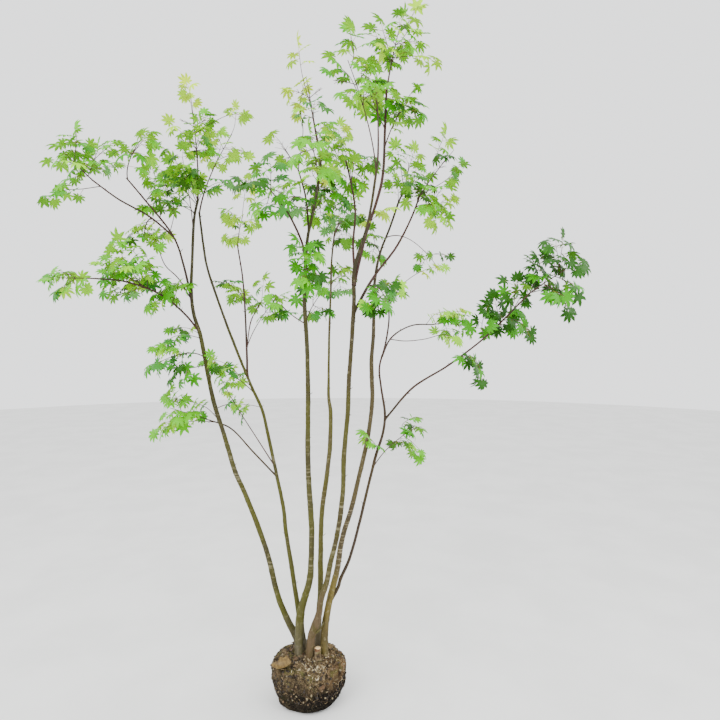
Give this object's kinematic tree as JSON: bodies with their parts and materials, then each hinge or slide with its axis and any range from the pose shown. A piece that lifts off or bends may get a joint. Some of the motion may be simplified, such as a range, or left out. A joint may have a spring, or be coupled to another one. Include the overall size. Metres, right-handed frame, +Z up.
{
  "type": "siebold maple tree",
  "caption": "Small garden maple with several slender stems rising from a round root ball into airy boughs of lobed green leaves, ready to plant",
  "frame": {"origin": "centre of the root ball's flat underside, where the plant stands on the ground", "axes": "+Z up the stems, +X to the right and -Y towards the viewer of the picture's front view"},
  "size_m": [2.1567, 1.2288, 2.8769],
  "materials": {
    "soil": "matte",
    "bark": "matte",
    "young_bark": "satin",
    "leaf": "satin",
    "young_leaf": "satin"
  },
  "bodies": {
    "root": {"root_ball": "soil", "stem_a": "bark", "stem_b": "bark", "stem_c": "bark", "stem_d": "bark", "stem_e": "bark", "stem_f": "bark", "stem_g": "young_bark", "bough_a_left": "young_bark", "bough_a_far": "young_bark", "bough_a_low": "young_bark", "bough_b_inner": "young_bark", "bough_b_low": "young_bark", "bough_c_left": "young_bark", "bough_c_right": "young_bark", "bough_e_left": "young_bark", "bough_e_twin": "young_bark", "bough_e_side": "young_bark", "bough_g_long": "young_bark", "bough_g_right": "young_bark", "foliage_a_leader": "young_leaf", "foliage_a_crown": "leaf", "foliage_b_crown": "leaf", "foliage_a_left": "leaf", "foliage_a_far": "leaf", "foliage_a_under": "leaf", "foliage_a_inner": "leaf", "foliage_a_tip": "leaf", "foliage_a_hang": "leaf", "foliage_b_fork": "leaf", "foliage_b_low": "leaf", "foliage_b_tip": "leaf", "foliage_b_inner": "leaf", "foliage_b_right": "leaf", "foliage_c_left": "leaf", "foliage_c_right": "leaf", "foliage_c_crown": "leaf", "foliage_c_front": "leaf", "foliage_c_leader": "young_leaf", "foliage_c_low": "leaf", "foliage_c_under": "leaf", "foliage_d_tip": "leaf", "foliage_d_low": "leaf", "foliage_e_left": "leaf", "foliage_e_back": "leaf", "foliage_e_front": "leaf", "foliage_e_top": "young_leaf", "foliage_e_right": "leaf", "foliage_e_crown": "leaf", "foliage_e_low": "leaf", "foliage_e_side": "leaf", "foliage_e_tip": "leaf", "foliage_f_tip": "leaf", "foliage_f_spray": "leaf", "foliage_f_back": "leaf", "foliage_g_tip": "leaf", "foliage_g_right": "leaf", "foliage_g_mid": "leaf", "foliage_g_far": "leaf", "foliage_g_low": "leaf"}
  },
  "joints": []
}
